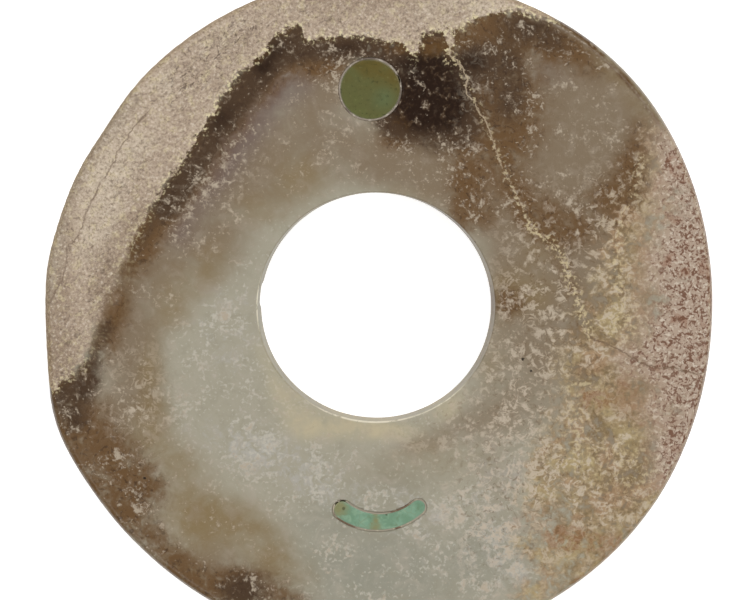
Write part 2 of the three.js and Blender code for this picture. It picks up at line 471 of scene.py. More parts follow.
# %% The map of stains
STAINS = {
    "smoke": [
        (-24, 50, 14, 13, 20, 0.5), (-38, 36, 9, 14, -35, 0.85), (-48, 22, 10, 10, -30, 0.9),
        (-12, 42, 14, 9, 0, 0.6), (4, 38, 14, 8, 0, 0.9), (14, 32, 10, 7, -30, 0.8),
        (-62, -8, 8, 14, 5, 0.9), (-58, 8, 10, 12, -20, 0.9), (-64, -24, 10, 8, 0, 0.9),
        (50, 42, 20, 20, 0, 0.85), (44, 34, 16, 14, 0, 0.9), (56, 20, 10, 12, 0, 0.95),
        (36, 14, 10, 12, 0, 0.95), (38, -6, 14, 16, 0, 0.8), (30, -26, 12, 8, 20, 0.6),
        (-42, -62, 10, 8, -20, 0.8), (-12, 57, 7, 9, 0, 0.75), (26, 30, 10, 12, 0, 0.9),
        (14, -32, 14, 4, 25, 0.5), (48, 5, 8, 14, 0, 0.9), (30, -44, 7, 12, 0, 0.35),
        (46, 60, 14, 10, -20, 0.9), (58, 48, 12, 12, 0, 1.0), (66, 40, 6, 8, 0, 0.8),
        (-27, 34, 13, 10, 25, 0.75), (-40, 16, 8, 10, -30, 0.6), (-70, -36, 8, 8, 0, 0.8),
        (60, -14, 14, 24, 0, 0.95), (60, -44, 13, 16, 0, 0.95),
    ],
    "haze": [(-37, 43, 5, 13, -38, 0.8), (-26, 56, 8, 4, 40, 0.6), (42, 60, 8, 6, 0, 0.5)],
    "honey": [
        (-20, 33, 8, 7, 20, 0.85), (-30, 25, 7, 5, -20, 0.6), (-42, 11, 6, 10, -35, 0.65),
        (-52, 2, 6, 8, 0, 0.7), (-57, -14, 4, 8, 0, 0.7), (-56, -27, 6, 8, 10, 0.75),
        (-66, -50, 8, 6, -40, 0.7), (-50, -66, 9, 5, -35, 0.7), (-50, -38, 8, 6, -30, 0.8),
        (-46, -50, 10, 8, -30, 0.85), (-35, -53, 10, 6, -15, 0.95), (-27, -62, 7, 7, 0, 0.85),
        (-20, -67, 7, 5, 0, 0.55), (12, -33, 9, 6, 20, 0.35), (22, -38, 10, 6, 0, 0.35),
        (28, -12, 5, 8, 0, 0.5), (35, 4, 10, 7, 0, 0.8), (56, 62, 10, 4, -40, 0.6),
        (66, 50, 4, 8, 30, 0.6), (40, 16, 6, 6, 0, 0.6), (6, 29, 10, 3, -5, 0.4),
        (4, -41, 16, 6, 0, 0.35), (-46, -56, 10, 6, -30, 0.6), (-58, -34, 8, 6, -40, 0.5),
    ],
    "brown": [
        (-67, -37, 9, 8, 10, 0.85), (-60, -44, 8, 7, 0, 0.9), (-62, -50, 7, 5, -30, 0.6),
        (-54, -58, 9, 4, -35, 0.4), (-46, -65, 9, 4, -35, 0.5), (-35, -69, 11, 6, 0, 0.95),
        (-60, 15, 4, 7, -20, 0.6), (-66, 1, 5, 6, 0, 0.8), (-68, -8, 5, 8, 0, 0.65),
        (-75, -27, 7, 7, 0, 1.0), (-80, -20, 5, 5, 0, 1.0), (27, 60, 10, 16, 0, 1.0),
        (34, 48, 6, 12, -10, 0.85), (40, 68, 13, 5, -25, 0.95), (22, 46, 8, 8, 0, 1.0),
        (22, 33, 5, 9, 0, 0.9), (24, 24, 6, 5, 0, 0.8), (38, 27, 7, 5, -45, 0.7),
        (47, 21, 8, 6, -10, 0.95), (52, 62, 10, 4, -35, 0.4), (65, 46, 4, 8, 0, 0.5),
        (63, 36, 5, 6, 0, 0.85), (65, 28, 5, 5, 0, 0.8), (59, 28, 8, 6, 0, 0.9), (33, 2, 5, 5, 0, 0.8),
        (5, 43, 6, 4, 0, 0.75), (50, -4, 4, 5, 0, 0.6), (-13, 62, 9, 5, 0, 0.85),
        (53, -14, 5, 4, 20, 0.7), (4, 57, 5, 7, 0, 0.8), (26, 68, 10, 6, 10, 1.0), (13, 69, 6, 4, 0, 1.0),
        (37, 50, 11, 18, 0, 0.4), (-22, -72, 8, 4, 0, 0.6),
    ],
    "dark": [
        (12, 55, 11, 9, 0, 1.0), (9, 48, 8, 6, 0, 0.9), (17, 49, 7, 8, 0, 0.95), (25, 62, 7, 5, 0, 0.8),
        (37, 70.5, 8, 4, -20, 0.6), (44, 67, 5, 4, -20, 0.35), (-73, -19, 4, 6, -15, 0.6),
        (33, 52, 4, 6, 0, 0.5), (-76, -27, 4, 4, 0, 0.7), (-79, -21, 3, 4, 0, 0.8),
        (-34, -70, 7, 5, 0, 0.8), (-60, -46, 4, 3, -30, 0.35), (2, 48, 4, 3, -50, 0.6),
        (22, 46, 6, 5, 0, 0.5), (14, 69.5, 5, 2.5, 0, 0.9), (33, 60, 6, 12, 10, 0.45),
    ],
    "soot": [
        (12, 56, 8, 7, 0, 1.0), (9, 50, 6, 5, 0, 0.9), (16, 50, 6, 6, 0, 0.95), (24, 62, 4, 3, 0, 0.5),
        (-29, 61, 4, 3, 45, 0.6), (-39, 48, 3, 6, -40, 0.5), (-74, -21, 3, 4, -15, 0.3),
        (40, 71, 5, 2, -20, 0.4), (12, 62, 8, 3, 0, 0.7), (-8, 66, 6, 2, 0, 0.5),
        (-26, 65, 4, 3, 20, 0.5),
    ],
    "butter": [
        (-12, -29, 10, 4, 5, 0.9), (-22, -23, 8, 5, -40, 0.6), (2, -30, 9, 3, 0, 0.7),
        (17, -24, 7, 4, 40, 0.6), (-28, -13, 3, 8, 30, 0.5),
    ],
    "ash": [
        (0, -66, 30, 12, 0, 0.9), (-8, -52, 16, 8, 0, 0.6), (28, -60, 10, 10, 0, 0.6),
        (6, -42, 12, 5, 0, 0.5),
    ],
    "tan": [
        (64, 8, 9, 18, 0, 1.0), (58, -8, 11, 12, 0, 1.0), (72, 32, 4.5, 14, 15, 0.9),
        (64, 20, 4, 8, 0, 0.5), (66, -10, 14, 14, 0, 1.0), (58, -30, 14, 14, 0, 1.0),
        (64, -42, 12, 12, 30, 1.0), (55, -50, 10, 13, 0, 0.95), (54, -62, 11, 7, 35, 0.9),
        (41, -48, 9, 6, 30, 0.7), (44, -36, 9, 5, 40, 0.7), (40, -61, 8, 4, -30, 0.75),
        (39, -70, 8, 4, 20, 0.65), (47, -56, 6, 5, 0, 0.6), (72, -24, 8, 12, 0, 0.9),
    ],
    "rust": [
        (54, -22, 7, 4, -10, 0.75), (63, -18, 5, 7, 0, 0.65), (45, -56, 4, 3.5, 0, 0.8),
        (50, -57, 5, 3, 0, 0.6), (52, -58, 8, 3, 5, 0.7), (41, -50, 3, 2.5, 0, 0.5),
        (60, -57, 6, 3, 45, 0.5), (52, -67, 10, 2, 40, 0.7), (73, -29, 4, 3, 0, 0.9),
        (71, 24, 4, 7, 0, 0.6), (66, -27, 5, 4, 0, 0.5), (70, -5, 5, 4, 0, 0.6), (81, -8, 2.5, 5, 0, 0.7),
        (67, -36, 2, 5, 0, 0.6), (72, 8, 4, 6, 0, 0.5),
    ],
    "pink": [
        (82, 14, 13, 24, 10, 1.0), (79, -4, 13, 16, 0, 1.0), (80, -22, 12, 16, -15, 1.0),
        (75, -36, 7, 9, -30, 0.9), (77, 34, 6, 14, 25, 0.9), (68, -12, 9, 5, 0, 0.7),
    ],
    "curd": [
        (61, -3, 5, 5, 0, 0.7), (51, -18, 5, 3, 0, 0.6), (49, -27, 3, 6, 0, 0.5), (60, 12, 3, 10, 0, 0.3),
        (50, -36, 8, 8, 0, 0.45), (63, -40, 8, 10, 0, 0.5), (18, 62.5, 2.5, 2, 0, 0.7),
        (-8.2, -47.0, 1.6, 0.5, -30, 0.8),
    ],
    "net": [
        (34, -22, 12, 18, 0, 0.8), (30, -50, 13, 16, 0, 0.9), (48, -45, 18, 22, 0, 0.9),
        (60, -36, 16, 20, 0, 0.8), (60, 12, 10, 22, 0, 0.8), (50, -5, 14, 12, 0, 0.9),
        (40, 12, 10, 14, 0, 0.7), (-40, 30, 6, 14, -35, 0.4), (14, -30, 12, 6, 20, 0.5),
        (-60, -20, 10, 12, 0, 0.5), (24, 50, 4, 14, 0, 0.3),
    ],
    "amber": [
        (4, 65.5, 6, 2.2, 0, 0.8), (14, 66, 5, 2.5, 0, 0.8), (21, 68, 3, 3, 0, 0.7),
        (-10, 67, 6, 1.2, 0, 0.45), (-59, 22, 2, 4, -25, 0.35), (5, 47, 4, 3, -30, 0.4),
        (15, 43, 8, 2, 0, 0.4), (31, 69, 8, 3, 0, 0.35), (48, 67, 5, 1.5, -30, 0.4),
    ],
    "outer_skin": [(-82, 14, 4, 16, -8, 0.9), (-76, 34, 3.5, 12, -27, 0.9), (-66, 48, 3.5, 10, -42, 0.8)],
    "pitted_skin": [
        (-46, 60, 12, 6, 38, 1.0), (-36, 68, 12, 5, 30, 0.9), (-62, 32, 6, 12, -35, 0.5),
        (-70, 10, 5, 12, -10, 0.7), (16, 73, 12, 4, 10, 0.4), (-78, -6, 5, 10, 0, 0.5),
        (-10, 74, 16, 4, 0, 0.6),
    ],
    "bare_skin": [
        (-66, 36, 6, 16, -35, 0.9), (-70, 22, 6, 14, -15, 0.9), (-56, 54, 10, 6, 45, 0.6),
        (22, 76, 14, 5, 0, 0.9), (-40, 68, 8, 5, 35, 0.5),
    ],
    "stained_skin": [
        (-81, 10, 4, 20, -8, 0.9), (-74, 38, 3, 12, -28, 0.7), (-80, -10, 6, 12, 5, 0.8),
        (-66, 10, 5, 14, -18, 0.9), (-59, 24, 3, 8, -30, 0.6), (-6, 78, 26, 5, 0, 0.5),
    ],
    "white": [
        (-28, -36, 22, 8, -15, 0.9), (-32, -10, 14, 16, 0, 0.6), (8, -50, 22, 8, -5, 0.7),
        (32, -56, 7, 16, 0, 1.0), (16, -62, 14, 10, 0, 0.5), (-56, -28, 10, 6, -20, 0.8),
        (26, -40, 8, 8, 0, 0.6), (-12, 50, 5, 7, 30, 1.0), (-8, 46, 6, 4, -30, 0.8),
        (36, -48, 7, 16, 10, 1.0), (38, -66, 6, 8, 0, 1.0), (-14, -44, 8, 4, -10, 0.8),
        (-40, 0, 8, 12, 0, 0.5), (20, -30, 10, 6, 30, 0.6), (-10, -70, 10, 6, 0, 0.4),
    ],
    "flecks": [
        (12, 52, 14, 14, 0, 0.6), (-12, 64, 12, 5, 0, 0.9), (-43, 29, 8, 18, -35, 0.65),
        (48, 36, 20, 26, 0, 0.6), (-58, -26, 14, 6, -25, 0.9), (-42, -42, 8, 5, 0, 0.6),
        (36, -10, 14, 16, 0, 0.8), (34, -30, 14, 12, 0, 0.9), (32, -56, 8, 16, 0, 0.9),
        (4, 38, 18, 8, 0, 0.7), (26, 58, 6, 8, 0, 0.7), (20, 31, 8, 8, 0, 0.7), (40, 70, 8, 5, 0, 0.9),
        (-34, -68, 8, 4, 0, 0.8), (-25, 40, 16, 12, 0, 0.5), (-62, -46, 14, 8, -40, 0.7),
        (50, -46, 16, 18, 0, 0.6), (-13, 54, 4, 9, 10, 1.0), (-12, 50, 4, 6, 30, 1.0),
        (-28, -40, 20, 6, -15, 0.4), (10, -52, 20, 8, 0, 0.2),
    ],
}
RUNS = [
    ("dark", [(-22, 69), (-28, 62), (-34, 54), (-41, 45), (-47, 36), (-53, 27)], 4.4, 0.95),
    ("brown", [(-18, 65), (-25, 61), (-32, 53), (-39, 44), (-45, 35), (-53, 25), (-61, 13)], 5.5, 0.7),
    ("haze", [(-20, 58), (-27, 52), (-35, 42), (-42, 32), (-50, 20)], 6.0, 0.6),
    ("dark", [(-28, 66), (-20, 66), (-10, 66), (0, 66), (8, 64)], 4.0, 0.95),
    ("dark", [(-57, 21), (-62, 12)], 2.5, 0.35),
    ("dark", [(-68, -4), (-71, -12), (-73, -18)], 2.8, 0.5),
    ("brown", [(-80, -30), (-76, -38), (-68, -49), (-58, -60), (-47, -70), (-36, -77)], 5.0, 0.5),
    ("curd", [(38, 21), (45, 15), (49, 5), (52.5, -6)], 1.6, 0.85),
    ("curd", [(17.5, 65), (19.5, 62), (27, 46), (32.5, 32.5), (38, 21)], 1.1, 0.6),
    ("curd", [(66, 38), (64, 32), (62, 26), (59, 16), (60, 4)], 1.7, 0.5),
    ("brown", [(70, 44), (64, 36), (62, 28), (60, 20)], 3.2, 0.5),
    ("amber", [(42, 75), (52, 67.5), (62, 57.5), (70, 47)], 0.9, 0.8),
    ("brown", [(22, 56), (28.5, 43), (32.5, 32.5), (38, 21), (45, 15), (49, 5)], 3.0, 0.6),
]


def cloud_cover(clouds, spots):
    """How strongly a set of clouds covers each spot, from 0 to 1."""
    clear = np.ones(len(spots))
    for x, y, long_half, short_half, turn, strength in clouds:
        c, s = math.cos(math.radians(turn)), math.sin(math.radians(turn))
        dx, dy = spots[:, 0] - x, spots[:, 1] - y
        u, v = (dx * c + dy * s) / long_half, (dy * c - dx * s) / short_half
        clear *= 1 - strength * np.exp(-(u * u + v * v))
    return 1 - clear


print("stains:", len(STAINS), "clouds:", sum(map(len, STAINS.values())), "runs:", len(RUNS))

# %% [markdown]
# Relief comes before the colours. The face was ground by hand, so it is a little uneven. The chalky
# skin is softer than fresh jade and has worn lower and grainier. The cracks are shallow grooves, and
# three small flakes have broken from the narrow lip of the hole.

# %% Relief
GRINDING_SPAN = 16 * MM
GRINDING_DEPTH = 0.16 * MM
GRAIN_SPAN = 1.4 * MM
GRAIN_DEPTH = 0.22 * MM
# A noise runs from 0 to 1, and below this level it lowers the surface, so that little stands proud.
PROUD_LEVEL = 0.8
SKIN_BLEND = 1.5
SKIN_DROP = 0.08
CRACK_DEPTH = 0.14
CRACK_HALF = 0.6
FACE_DEPTH = 0.3
# Each flake's turn in degrees, and its half-length and depth in mm.
FLAKES = [(168.5, 1.0, 0.5), (172.5, 1.6, 0.45), (176, 0.9, 0.3)]
FLAKE_WIDTH = 0.8
FLAKE_HEIGHT = 3.5


def weigh(piece, name, weights):
    """Gives a piece a vertex group with these weights."""
    group = piece.vertex_groups.new(name=name)
    for level in np.unique(weights[weights > 0.02].round(1)):
        members = np.nonzero((weights > 0.02) & (weights.round(1) == level))[0]
        group.add(members.tolist(), float(level), "REPLACE")


points = points_of(stone)
depth = skin_depth(points[:, :2])
skin = np.clip(depth / SKIN_BLEND, 0, 1)
weigh(stone, "skin", skin)

for name, span, deep, group in (
    ("hand grinding", GRINDING_SPAN, GRINDING_DEPTH, ""), ("chalk grain", GRAIN_SPAN, GRAIN_DEPTH, "skin"),
):
    shape = stone.modifiers.new(name, "DISPLACE")
    shape.texture = bpy.data.textures.new(name, type="CLOUDS")
    shape.texture.noise_scale = span
    shape.texture_coords = "LOCAL"
    shape.strength = deep
    shape.mid_level = PROUD_LEVEL
    shape.vertex_group = group
apply_modifiers(stone)

moved = points_of(stone)
on_face = np.clip((points[:, 2] - THICKNESS + FACE_DEPTH) / FACE_DEPTH, 0, 1)
to_crack = np.minimum(*(distance_to(line, points[:, :2]) for line in (RIGHT_CRACK, SKIN_CRACK)))
groove = np.exp(-(to_crack / CRACK_HALF) ** 2)
moved[:, 2] -= on_face * (SKIN_DROP * skin + CRACK_DEPTH * groove)

turn = np.arctan2(points[:, 1], points[:, 0])
away = np.hypot(points[:, 0], points[:, 1])
near_lip = np.exp(-((away - around(hole_low, turn)) / FLAKE_WIDTH) ** 2)
near_lip *= np.clip(1 - points[:, 2] / FLAKE_HEIGHT, 0, 1)
for degrees, across, deep in FLAKES:
    share = near_lip * np.exp(-((turn - math.radians(degrees)) * bore_low / across) ** 2)
    moved[:, :2] += (points[:, :2] / away[:, None]) * (deep * share)[:, None]
moved[points[:, 2] < 0.01, 2] = 0
moved = np.clip(moved, np.array(cad_box[0]) / MM, np.array(cad_box[1]) / MM)
put_points(stone, moved)
print("relief in mm:", (moved - points).min(0).round(3), (moved - points).max(0).round(3))

# %% [markdown]
# Each inlay lies in a pocket that was ground out to its shape. So the pocket is cut from the disc with a
# copy of the inlay's solid, fattened by the width of the bedding and raised through the face.

# %% The pockets
# In mm: how far a pocket's cutter stands out of the face, and how deep its upper edge is taken.
CUTTER_RISE = 1.0
CUTTER_EDGE = 0.4


def copy_of(node, name):
    """A merged copy of a solid, as a piece of its own."""
    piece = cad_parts[node].copy()
    piece.data = piece.data.copy()
    piece.parent = None
    for key in list(piece.keys()):
        del piece[key]
    piece.name = name
    piece.data.materials.clear()
    bpy.context.scene.collection.objects.link(piece)
    only(piece)
    bpy.ops.object.mode_set(mode="EDIT")
    bpy.ops.mesh.select_all(action="SELECT")
    bpy.ops.mesh.remove_doubles(threshold=0.001 * MM)
    bpy.ops.object.mode_set(mode="OBJECT")
    return piece


def bedding_gap(node):
    """Width in mm of the space between an inlay's side and its pocket's wall."""
    low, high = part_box(node)
    side = Vector((high.x, 0, (low.z + high.z) / 2))
    corner = max((v.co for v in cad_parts[node].data.vertices), key=lambda p: p.x)
    side.y = corner.y
    return stone_tree.find_nearest(side)[3] / MM


def cut(piece, tool):
    """Cuts the tool's shape out of a piece, and removes the tool."""
    knife = piece.modifiers.new("cut", "BOOLEAN")
    knife.operation = "DIFFERENCE"
    knife.solver = "MANIFOLD"
    knife.object = tool
    apply_modifiers(piece)
    bpy.data.objects.remove(tool)


def pocket_tool(node, above):
    """The shape of an inlay's pocket: its solid fattened by the gap, and its top raised."""
    tool = copy_of(node, node + "_pocket")
    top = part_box(node)[1].z
    bpy.ops.object.mode_set(mode="EDIT")
    bpy.ops.mesh.select_all(action="SELECT")
    bpy.ops.transform.shrink_fatten(value=gap * MM, use_even_offset=True)
    select(tool, "VERT", lambda p, _: p.z > top - CUTTER_EDGE * MM)
    bpy.ops.transform.translate(value=(0, 0, above * MM))
    bpy.ops.object.mode_set(mode="OBJECT")
    return tool


gap = bedding_gap("round_plug")
for node in ("round_plug", "crescent_inlay"):
    cut(stone, pocket_tool(node, CUTTER_RISE))
print("bedding", round(gap, 2), "mm, disc after its pockets", len(stone.data.vertices), "vertices")

# %% [markdown]
# The material can only read numbers that are stored on the mesh, so every zone is stored as one:
# how strongly each stain covers a vertex, and how far the vertex lies from the lines. A thin line is
# stored as a distance that changes its sign on the line, because a distance that only falls to
# nought would be cut into dashes between two vertices. The map drifts a little as it goes down
# through the stone, as veins do, so that the underside isn't a copy of the face.

# %% Colour masks on the stone
DRIFT = np.array([2.5, -3.0])
FARTHEST = 12
# The vein is whole above the first of these heights on the map, and broken below the second.
VEIN_WHOLE = (50, 32)
LIP_WIDTH = 1.5
LIP_DEPTH = 0.5
# The arris leans by between these two shares of a right angle.
LIP_TILT = (0.18, 0.87)
SOFT_EDGE = [(-66, 2, 10, 22, -20, 1.0), (-57, 26, 4, 5, 0, 0.4)]
# Clouds that set where the painted highlight on the hole's arris is strongest.
LIP_HIGHLIGHT_CLOUDS = [(-6, -28, 16, 6, 5, 1.0), (-31, 2, 3, 9, 0, 0.6), (18, -24, 8, 4, 35, 0.6)]


def mark(piece, name, values):
    """Stores one number for each vertex of a piece, for its material to read."""
    store = piece.data.attributes.new(name, "FLOAT", "POINT")
    store.data.foreach_set("value", np.asarray(values, np.float32))


points = points_of(stone)
spots = points[:, :2] + DRIFT * (1 - points[:, 2] / THICKNESS)[:, None]
mark(stone, "skin_edge", np.clip(skin_depth(spots), -FARTHEST, FARTHEST))
mark(stone, "crisp", 1 - cloud_cover(SOFT_EDGE, spots))
covers = {name: cloud_cover(clouds, spots) for name, clouds in STAINS.items()}
for name, line, half, strength in RUNS:
    run = strength * np.exp(-(distance_to(line, spots) / half) ** 2)
    covers[name] = 1 - (1 - covers[name]) * (1 - run)
for name, cover in covers.items():
    mark(stone, name, cover)
right, left = beside(RIGHT_CRACK, spots), beside(SKIN_CRACK, spots)
nearer = np.where(np.abs(right) < np.abs(left), right, left)
mark(stone, "crack", np.clip(nearer, -FARTHEST, FARTHEST))
mark(stone, "vein", np.clip(beside(VEIN, spots), -FARTHEST, FARTHEST))
mark(stone, "whole", np.clip((spots[:, 1] - VEIN_WHOLE[1]) / (VEIN_WHOLE[0] - VEIN_WHOLE[1]), 0, 1))

normals = np.empty(len(points) * 3, np.float32)
stone.data.vertex_normals.foreach_get("vector", normals)
tilt = np.arccos(np.clip(np.abs(normals.reshape(-1, 3)[:, 2]), 0, 1)) / (math.pi / 2)
mark(stone, "tilt", tilt)
turn, away = np.arctan2(points[:, 1], points[:, 0]), np.hypot(points[:, 0], points[:, 1])
# The lip mask places a painted highlight on the arris of the hole.
on_lip = (away < around(hole_high, turn) + LIP_WIDTH) & (points[:, 2] > THICKNESS - LIP_DEPTH)
on_lip &= (tilt > LIP_TILT[0]) & (tilt < LIP_TILT[1])
mark(stone, "lip", on_lip * (0.1 + 0.9 * cloud_cover(LIP_HIGHLIGHT_CLOUDS, spots)))
print("masks:", [a.name for a in stone.data.attributes if a.data_type == "FLOAT"])

# %% [markdown]
# Weathered nephrite is a tough felt of fine fibres. Fresh, it is waxy and slightly translucent, and it
# takes a soft polish. Iron stains sink in from cracks, and the white flecks are clots of altered
# fibres. The material starts with the fresh jade and lays each change over it.

# %% Patterns of the stone
# Size in mm of the largest lump, then detail, roughness and distortion of the noise.
PATTERNS = {
    "broad": (9, 5, 0.6, 0.4), "cloudy": (4.5, 4, 0.6, 0.8), "ragged": (3, 6, 0.7, 0.3),
    "clots": (2.2, 4, 0.6, 0.5), "dots": (0.9, 2, 0.5, 0.3), "curls": (2.4, 3, 0.5, 1.0),
    "pepper": (1.3, 3, 0.6, 0.8), "fine": (0.6, 2, 0.6, 0.0), "crowd": (7, 2, 0.5, 0.0),
}
jade = empty_material("weathered nephrite")
tree = jade.node_tree
place = add(tree, "TexCoord").outputs["Object"]
pattern = {
    name: add(
        tree, "TexNoise",
        {"Vector": place, "Scale": 1 / (size * MM), "Detail": detail, "Roughness": rough,
         "Distortion": twist},
    )
    for name, (size, detail, rough, twist) in PATTERNS.items()
}
mask = {
    name: add(tree, "Attribute", attribute_name=name).outputs["Fac"]
    for name in [*covers, "skin_edge", "crisp", "vein", "whole", "crack", "tilt", "lip"]
}
print("patterns:", len(pattern), "masks:", len(mask))

# %% [markdown]
# A change in the stone is either a stain, which follows its mask and frays where the mask fades, or a
# sprinkling, which shows where a pattern passes a level. Lines are patterns that are folded over.

# %% Ways to lay one colour over another
def summed(start, *parts):
    """A value with others added to it, each by its weight."""
    for weight, part in parts:
        start = add(tree, "Math", {0: part, 1: weight, 2: start}, operation="MULTIPLY_ADD")
    return start


def fold(value, shift):
    """How far a value lies from nought once it is shifted, which turns its level into a line."""
    return add(tree, "Math", {0: add(tree, "Math", {0: value, 1: shift})}, operation="ABSOLUTE")


broad = summed(-1.5, (3.0, pattern["broad"]))
small = summed(-1.5, (3.0, pattern["clots"]))


def stain(under, name, tint, start, full, wave=1.0, fray=0.4):
    """Lays a stain over what is under it, frayed where its mask fades. Gives the colour and the amount."""
    uneven = summed(1.0, (fray, small), (wave, broad))
    level = add(tree, "Math", {0: uneven, 1: mask[name]}, operation="MULTIPLY")
    amount = add(
        tree, "MapRange", {"Value": level, "From Min": start, "From Max": full},
        interpolation_type="SMOOTHSTEP",
    )
    return add(tree, "Mix", {"Factor": amount, "A": under, "B": tint}, data_type="RGBA"), amount


def sprinkle(under, over, low, high, tint, strength, where=None):
    """Lays spots over what is under them, from where a pattern passes low to where it passes high."""
    amount = add(
        tree, "MapRange", {"Value": over, "From Min": low, "From Max": high, "To Max": strength},
        interpolation_type="SMOOTHSTEP",
    )
    if where is not None:
        amount = add(tree, "Math", {0: amount, 1: where}, operation="MULTIPLY")
    return add(tree, "Mix", {"Factor": amount, "A": under, "B": tint}, data_type="RGBA")


def crowded(name, sparse, dense, high, low, *more):
    """The level that a fleck has to pass: high where its mask and the crowding are weak, else low."""
    density = summed(mask[name], (4.0, pattern["crowd"]), *more)
    return add(
        tree, "MapRange",
        {"Value": density, "From Min": sparse, "From Max": dense, "To Min": high, "To Max": low},
    )


def spot(under, places, grain, far, near, tint, strength):
    """Lays round spots with uneven edges over what is under them. Each has a middle and a size in mm."""
    for x, y, size in places:
        middle = (x * MM, y * MM, THICKNESS * MM)
        away_from = add(tree, "VectorMath", {0: place, 1: middle}, operation="DISTANCE")
        rough_edge = summed(away_from.outputs["Value"], (1.6 * size * MM, grain))
        under = sprinkle(under, rough_edge, far * size * MM, near * size * MM, tint, strength)
    return under


print("nodes before the first colour:", len(tree.nodes))

# %% [markdown]
# Nephrite is called mutton-fat jade when it is as pale as this. Its even, milky grey-green makes the
# eye rest on the middle of the disc. Over it lie the soft stains, from the lightest to the darkest:
# smoke and haze are thin grey-brown films under the polish, honey and butter are yellow iron, and
# brown, dark and soot are iron and manganese that have soaked in deeply next to the skin.

# %% Fresh jade and its stains
MILK = "#A49E8C"
WHITE = "#C1BCAE"
CURDLED = "#AEAAA1"
ASH = "#949283"
DULL = "#918B78"
BROWN = "#694F33"
AMBER = "#5E4426"
# Each film: mask, colour, where the mask starts to show and is full, and how much two patterns sway it.
FILMS = [
    ("smoke", "#82725D", 0.05, 0.9, 0.4, 0.15),
    ("haze", "#70605A", 0.05, 1.0, 0.4, 0.15),
    ("honey", "#857251", 0.05, 1.15, 0.45, 0.2),
    ("butter", "#BDB193", 0.1, 1.0, 0.6, 0.3),
    ("brown", BROWN, 0.1, 0.85, 0.6, 0.5),
    ("dark", "#4C3A2A", 0.1, 0.7, 0.45, 0.5),
    ("soot", "#26170D", 0.1, 0.75, 0.35, 0.6),
]

body, _ = stain(MILK, "ash", ASH, 0.0, 1.0, 0.5, 0.2)
body = sprinkle(body, pattern["cloudy"], 0.48, 0.75, WHITE, 0.4)
body = sprinkle(body, pattern["cloudy"], 0.5, 0.3, DULL, 0.4)
body, _ = stain(body, "white", CURDLED, 0.45, 1.4, 1.0, 1.5)
white_clots = summed(0.0, (0.75, pattern["clots"]), (0.6, pattern["dots"]), (0.15, pattern["fine"]))
limit = crowded("white", 1.7, 3.1, 0.98, 0.74)
white_clots = add(tree, "Math", {0: white_clots, 1: limit}, operation="SUBTRACT")
body = sprinkle(body, white_clots, -0.06, 0.12, WHITE, 0.9)
body = sprinkle(body, pattern["dots"], 0.58, 0.74, WHITE, 0.5)
amount = {}
for name, tint, start, full, wave, fray in FILMS:
    body, amount[name] = stain(body, name, tint, start, full, wave, fray)
body = sprinkle(body, pattern["clots"], 0.52, 0.68, BROWN, 0.35, where=amount["dark"])
body, _ = stain(body, "amber", AMBER, 0.15, 1.0, 0.8, 1.0)
print("films:", len(FILMS), "nodes:", len(tree.nodes))

# %% [markdown]
# Where the fibres have come apart, light scatters and the stone looks white: clots 1 to 3 mm wide,
# with crumbs of half a millimetre round them. They are thickest in the stained parts, and they are
# what makes the dark stains look deep rather than painted on.

# %% White flecks
FLECK = "#B3A591"
VEIL = "#9C8F7E"
GRIT = "#3B2A1E"

stained = add(tree, "Math", {0: amount["brown"], 1: amount["dark"]}, operation="MAXIMUM")
fresh = add(tree, "Math", {0: 1.0, 1: stained}, operation="SUBTRACT")
body = sprinkle(body, pattern["cloudy"], 0.48, 0.72, VEIL, 0.35, where=fresh)
body = sprinkle(body, pattern["pepper"], 0.46, 0.34, GRIT, 0.6, where=stained)
limit = crowded("flecks", 1.9, 3.3, 0.64, 0.49, (-0.7, amount["soot"]))
crumbled = summed(pattern["clots"], (0.35, pattern["fine"]))
pale_clots = add(tree, "Math", {0: crumbled, 1: limit}, operation="SUBTRACT")
body = sprinkle(body, pale_clots, 0.1, 0.36, VEIL, 0.45)
body = sprinkle(body, pale_clots, 0.19, 0.34, FLECK, 0.8)
pale_dots = add(tree, "Math", {0: pattern["dots"], 1: limit}, operation="SUBTRACT")
body = sprinkle(body, pale_dots, 0.05, 0.17, FLECK, 0.7)
print("nodes with the flecks:", len(tree.nodes))

# %% [markdown]
# On the right the burial soil has changed the stone to a mottled tan, like cooked rice, crossed by a
# net of pale curls. Rust has settled in it in streaks, and along the rim it has dried to pinkish
# grey with a pepper of dark red-brown grains, each less than a millimetre across.

# %% The tan side
TAN = "#AE9877"
OLIVE = "#7C6849"
STRAW = "#AF9D73"
ROSE = "#A68568"
RUST = "#8C6A4A"
NET = "#C2B4A0"
PINK = "#B09C8A"
BLOOM = "#D2C6B4"
RED_EARTH = "#8D654E"
SPECK = "#6E4A37"
CURD = "#CBBB95"

blend = summed(0.0, (0.9, pattern["clots"]), (0.9, pattern["dots"]), (0.6, pattern["cloudy"]))
blend = add(tree, "MapRange", {"Value": blend, "From Min": 0.95, "From Max": 1.4})
earth = add(tree, "Mix", {"Factor": blend, "A": OLIVE, "B": TAN}, data_type="RGBA")
earth = sprinkle(earth, pattern["crowd"], 0.5, 0.64, STRAW, 0.6)
earth = sprinkle(earth, pattern["crowd"], 0.48, 0.36, ROSE, 0.5)
earth = sprinkle(earth, pattern["broad"], 0.5, 0.34, OLIVE, 0.75)
body, _ = stain(body, "tan", earth, 0.12, 0.85, 0.7, 1.4)
body, rusty = stain(body, "rust", RUST, 0.25, 1.2, 0.5, 2.0)

